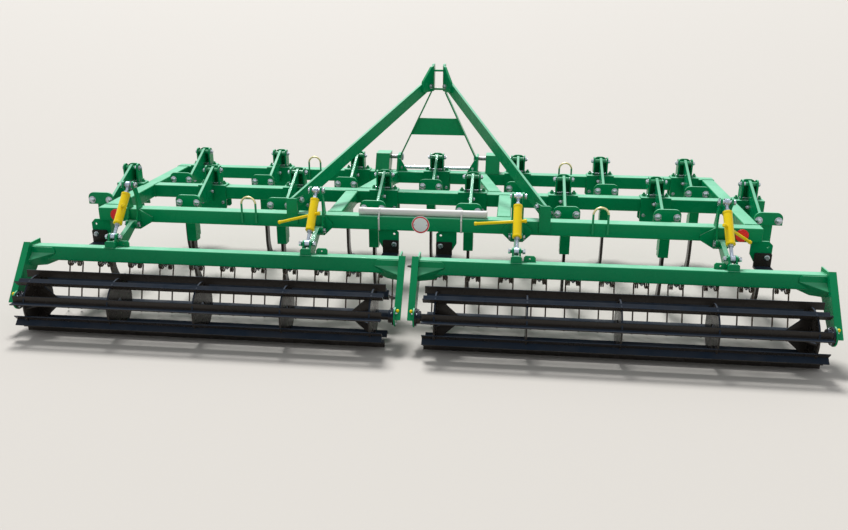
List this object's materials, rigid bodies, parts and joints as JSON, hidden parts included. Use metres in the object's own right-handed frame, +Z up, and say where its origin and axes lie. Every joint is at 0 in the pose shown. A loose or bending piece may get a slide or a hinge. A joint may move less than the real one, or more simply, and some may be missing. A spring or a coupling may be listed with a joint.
{
  "type": "mounted field cultivator",
  "caption": "Rigid three-point mounted field cultivator: tined frame with hitch mast, spring harrow and height-adjustable cage rollers behind.",
  "frame": {"origin": "on the ground, below the centre of the machine's bounding box", "axes": "+X to the machine's right seen from behind, +Y forward in the direction of travel, +Z up"},
  "size_m": [4.282, 2.028, 1.2711],
  "materials": {
    "green_paint": "gloss",
    "yellow_paint": "gloss",
    "black_paint": "satin",
    "zinc": "satin",
    "bare_steel": "satin",
    "yellow_zinc": "satin",
    "red_reflector": "gloss",
    "white_plastic": "satin",
    "white_sign": "satin"
  },
  "bodies": {
    "frame": {"rear_beam": "green_paint", "front_beam": "green_paint", "middle_beam": "green_paint", "side_rails": "green_paint", "beam_stubs": "green_paint", "centre_rails": "green_paint", "hitch_rails": "green_paint", "tine_clamps": "green_paint", "tine_pivot_bolts": "zinc", "tine_levers": "green_paint", "tine_holders": "green_paint", "tine_shanks": "black_paint", "tine_sweeps": "bare_steel", "hitch_boxes": "green_paint", "hitch_plates": "green_paint", "hitch_pins": "bare_steel", "hitch_shaft": "zinc", "mast_head": "green_paint", "mast_spacers": "green_paint", "mast_legs": "green_paint", "mast_cross_plate": "green_paint", "mast_struts": "green_paint", "strut_brackets": "green_paint", "lifting_eyes": "yellow_zinc", "reflectors": "red_reflector", "sign_plate": "white_sign", "document_tube": "white_plastic", "harrow_hangers": "green_paint", "harrow_arms": "black_paint", "harrow_bars": "black_paint", "harrow_tines": "black_paint", "linkage_ears": "green_paint", "linkage_pins": "zinc"},
    "left_roller_frame": {"left_roller_beam": "green_paint", "left_side_arms": "green_paint", "left_gussets": "green_paint", "left_bearings": "black_paint", "left_linkage_arms": "green_paint", "left_lugs": "green_paint"},
    "left_roller_cage": {"left_roller": "black_paint"},
    "right_roller_frame": {"right_roller_beam": "green_paint", "right_side_arms": "green_paint", "right_gussets": "green_paint", "right_bearings": "black_paint", "right_linkage_arms": "green_paint", "right_lugs": "green_paint"},
    "right_roller_cage": {"right_roller": "black_paint"},
    "far_left_turnbuckle": {"far_left_barrel": "yellow_paint", "far_left_upper_rod": "zinc"},
    "far_left_rod": {"far_left_lower_rod": "zinc"},
    "near_left_turnbuckle": {"near_left_barrel": "yellow_paint", "near_left_upper_rod": "zinc"},
    "near_left_rod": {"near_left_lower_rod": "zinc"},
    "near_right_turnbuckle": {"near_right_barrel": "yellow_paint", "near_right_upper_rod": "zinc"},
    "near_right_rod": {"near_right_lower_rod": "zinc"},
    "far_right_turnbuckle": {"far_right_barrel": "yellow_paint", "far_right_upper_rod": "zinc"},
    "far_right_rod": {"far_right_lower_rod": "zinc"}
  },
  "joints": [
    {"name": "left_frame_tilt", "type": "hinge", "parent": "frame", "child": "left_roller_frame", "pos_m": [-1.1075, -0.364, 0.463], "axis": [1, 0, 0], "range_deg": [-15, 5]},
    {"name": "left_roller_spin", "type": "hinge", "parent": "left_roller_frame", "child": "left_roller_cage", "pos_m": [-1.079, -0.85, 0.16088], "axis": [1, 0, 0], "continuous": true},
    {"name": "right_frame_tilt", "type": "hinge", "parent": "frame", "child": "right_roller_frame", "pos_m": [1.1075, -0.364, 0.463], "axis": [1, 0, 0], "range_deg": [-15, 5]},
    {"name": "right_roller_spin", "type": "hinge", "parent": "right_roller_frame", "child": "right_roller_cage", "pos_m": [1.079, -0.85, 0.16088], "axis": [1, 0, 0], "continuous": true},
    {"name": "far_left_turnbuckle_swing", "type": "hinge", "parent": "frame", "child": "far_left_turnbuckle", "pos_m": [-1.655, -0.36, 0.693], "axis": [1, 0, 0], "range_deg": [-7.72, 2.59]},
    {"name": "far_left_rod_slide", "type": "slide", "parent": "far_left_turnbuckle", "child": "far_left_rod", "axis": [0, -0.7115, -0.7026], "range_m": [-0.0441, 0.0148]},
    {"name": "near_left_turnbuckle_swing", "type": "hinge", "parent": "frame", "child": "near_left_turnbuckle", "pos_m": [-0.56, -0.36, 0.693], "axis": [1, 0, 0], "range_deg": [-7.72, 2.59]},
    {"name": "near_left_rod_slide", "type": "slide", "parent": "near_left_turnbuckle", "child": "near_left_rod", "axis": [0, -0.7115, -0.7026], "range_m": [-0.0441, 0.0148]},
    {"name": "near_right_turnbuckle_swing", "type": "hinge", "parent": "frame", "child": "near_right_turnbuckle", "pos_m": [0.56, -0.36, 0.693], "axis": [1, 0, 0], "range_deg": [-7.72, 2.59]},
    {"name": "near_right_rod_slide", "type": "slide", "parent": "near_right_turnbuckle", "child": "near_right_rod", "axis": [0, -0.7115, -0.7026], "range_m": [-0.0441, 0.0148]},
    {"name": "far_right_turnbuckle_swing", "type": "hinge", "parent": "frame", "child": "far_right_turnbuckle", "pos_m": [1.655, -0.36, 0.693], "axis": [1, 0, 0], "range_deg": [-7.72, 2.59]},
    {"name": "far_right_rod_slide", "type": "slide", "parent": "far_right_turnbuckle", "child": "far_right_rod", "axis": [0, -0.7115, -0.7026], "range_m": [-0.0441, 0.0148]}
  ],
  "couplings": [
    {"joint": "far_left_turnbuckle_swing", "follows": "left_frame_tilt", "ratio": 0.5135},
    {"joint": "far_left_rod_slide", "follows": "left_frame_tilt", "m_per_rad": 0.1678},
    {"joint": "near_left_turnbuckle_swing", "follows": "left_frame_tilt", "ratio": 0.5135},
    {"joint": "near_left_rod_slide", "follows": "left_frame_tilt", "m_per_rad": 0.1678},
    {"joint": "near_right_turnbuckle_swing", "follows": "right_frame_tilt", "ratio": 0.5135},
    {"joint": "near_right_rod_slide", "follows": "right_frame_tilt", "m_per_rad": 0.1678},
    {"joint": "far_right_turnbuckle_swing", "follows": "right_frame_tilt", "ratio": 0.5135},
    {"joint": "far_right_rod_slide", "follows": "right_frame_tilt", "m_per_rad": 0.1678}
  ]
}
